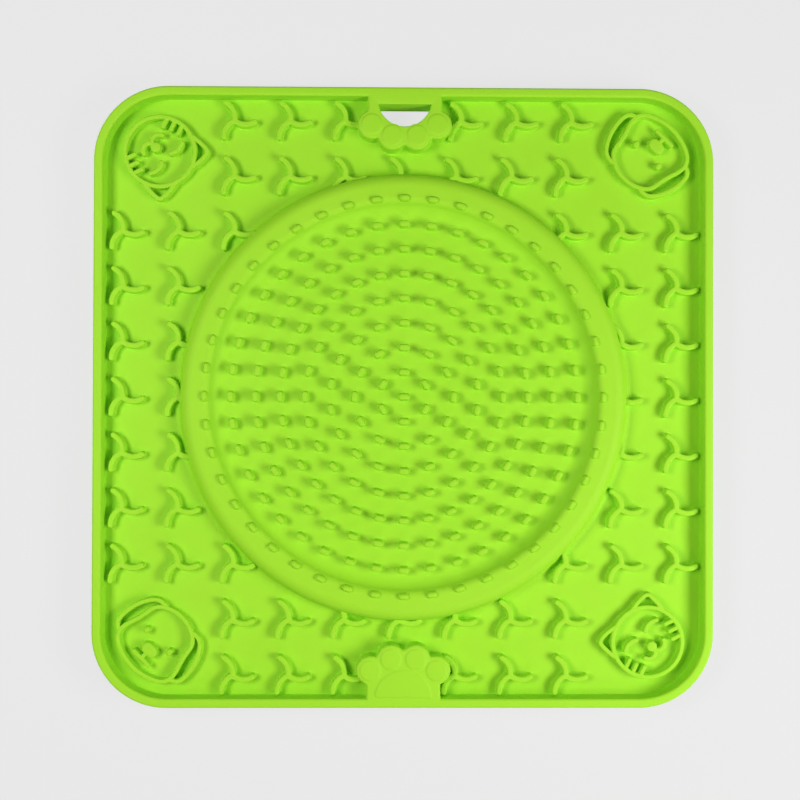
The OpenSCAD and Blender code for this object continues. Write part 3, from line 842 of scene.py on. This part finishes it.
# The mat lies on a plain pale table in soft studio light: four soft lamps close by, a key on
# the right, a fill on the left and weak ones in front and behind, and a faint even glow.
TABLE_GREY = (0.80, 0.80, 0.80, 1)
TABLE_SEEN = (0.82, 0.82, 0.82, 1)
TABLE_ROUGHNESS = 0.9
TABLE_SPECULAR = 0.1
EVEN_SHARE = 0.88
TABLE_HALF = 3.0
# Each lamp's place in metres, power in watts, and width and height in metres
LAMPS = {
    "key": ((0.33, -0.10, 0.28), 1.45, 0.264, 0.143),
    "front": ((0.05, -0.31, 0.20), 0.16, 0.30, 0.13),
    "fill": ((-0.275, 0.02, 0.34), 1.02, 0.20, 0.13),
    "back": ((0.00, 0.30, 0.36), 0.10, 0.20, 0.20),
}
GLOW = 0.05
BACKDROP = 0.735
table_mesh = bpy.data.meshes.new("table")
table_corners = TABLE_HALF * np.array([[-1, -1, 0], [1, -1, 0], [1, 1, 0], [-1, 1, 0]])
table_mesh.from_pydata(table_corners.tolist(), [], [[0, 1, 2, 3]])
table_paint = bpy.data.materials.new("pale_table")
table_paint.use_nodes = True
paint_nodes, paint_links = table_paint.node_tree.nodes, table_paint.node_tree.links
paint = paint_nodes["Principled BSDF"]
paint.inputs["Base Color"].default_value = TABLE_GREY
paint.inputs["Roughness"].default_value = TABLE_ROUGHNESS
paint.inputs["Specular IOR Level"].default_value = TABLE_SPECULAR
even = paint_nodes.new("ShaderNodeEmission")
even.inputs["Color"].default_value = TABLE_SEEN
to_camera = paint_nodes.new("ShaderNodeLightPath")
even_share = paint_nodes.new("ShaderNodeMath")
even_share.operation = "MULTIPLY"
even_share.inputs[1].default_value = EVEN_SHARE
ground = paint_nodes.new("ShaderNodeMixShader")
paint_links.new(to_camera.outputs["Is Camera Ray"], even_share.inputs[0])
paint_links.new(even_share.outputs[0], ground.inputs["Fac"])
paint_links.new(paint.outputs[0], ground.inputs[1])
paint_links.new(even.outputs[0], ground.inputs[2])
paint_links.new(ground.outputs[0], paint_nodes["Material Output"].inputs["Surface"])
table_mesh.materials.append(table_paint)
table = bpy.data.objects.new("table", table_mesh)
bpy.context.scene.collection.objects.link(table)


def softbox(name, place, power, width, height):
    """A soft lamp, a lit rectangle that faces the middle of the mat."""
    lamp = bpy.data.objects.new(name, bpy.data.lights.new(name, "AREA"))
    lamp.data.energy = power
    lamp.data.shape = "RECTANGLE"
    lamp.data.size = width
    lamp.data.size_y = height
    lamp.location = place
    lamp.rotation_euler = mathutils.Vector(place).to_track_quat("Z", "Y").to_euler()
    lamp.visible_camera = False
    bpy.context.scene.collection.objects.link(lamp)


for name, lamp_values in LAMPS.items():
    softbox(name, *lamp_values)

world = bpy.data.worlds.new("studio")
bpy.context.scene.world = world
world.use_nodes = True
world_nodes, world_links = world.node_tree.nodes, world.node_tree.links
glow = world_nodes["Background"]
glow.inputs["Color"].default_value = (1, 1, 1, 1)
glow.inputs["Strength"].default_value = GLOW
backdrop = world_nodes.new("ShaderNodeBackground")
backdrop.inputs["Color"].default_value = (BACKDROP, BACKDROP, BACKDROP, 1)
ray = world_nodes.new("ShaderNodeLightPath")
seen = world_nodes.new("ShaderNodeMath")
seen.operation = "MAXIMUM"
shown = world_nodes.new("ShaderNodeMath")
shown.operation = "MAXIMUM"
choice = world_nodes.new("ShaderNodeMixShader")
world_links.new(ray.outputs["Is Camera Ray"], seen.inputs[0])
world_links.new(ray.outputs["Is Glossy Ray"], seen.inputs[1])
world_links.new(seen.outputs[0], shown.inputs[0])
world_links.new(ray.outputs["Is Transmission Ray"], shown.inputs[1])
world_links.new(shown.outputs[0], choice.inputs["Fac"])
world_links.new(glow.outputs[0], choice.inputs[1])
world_links.new(backdrop.outputs[0], choice.inputs[2])
world_links.new(choice.outputs[0], world_nodes["World Output"].inputs["Surface"])


# The camera looks straight down on the mat from about a third of a metre, a hair off its
# middle, as in the photograph.
LENS = 45.0
SENSOR = 36.0
NEAREST = 0.01
CAMERA_PLACE = (-0.00492, -0.00347, 0.3321)
CAMERA_TURN = (0.44, -0.646, 0.18)
camera = bpy.data.objects.new("camera", bpy.data.cameras.new("camera"))
camera.data.lens = LENS
camera.data.sensor_width = SENSOR
camera.data.clip_start = NEAREST
camera.location = CAMERA_PLACE
camera.rotation_mode = "ZYX"
camera.rotation_euler = [math.radians(degrees) for degrees in CAMERA_TURN]
bpy.context.scene.collection.objects.link(camera)
bpy.context.scene.camera = camera
bpy.context.scene.view_settings.view_transform = "Standard"
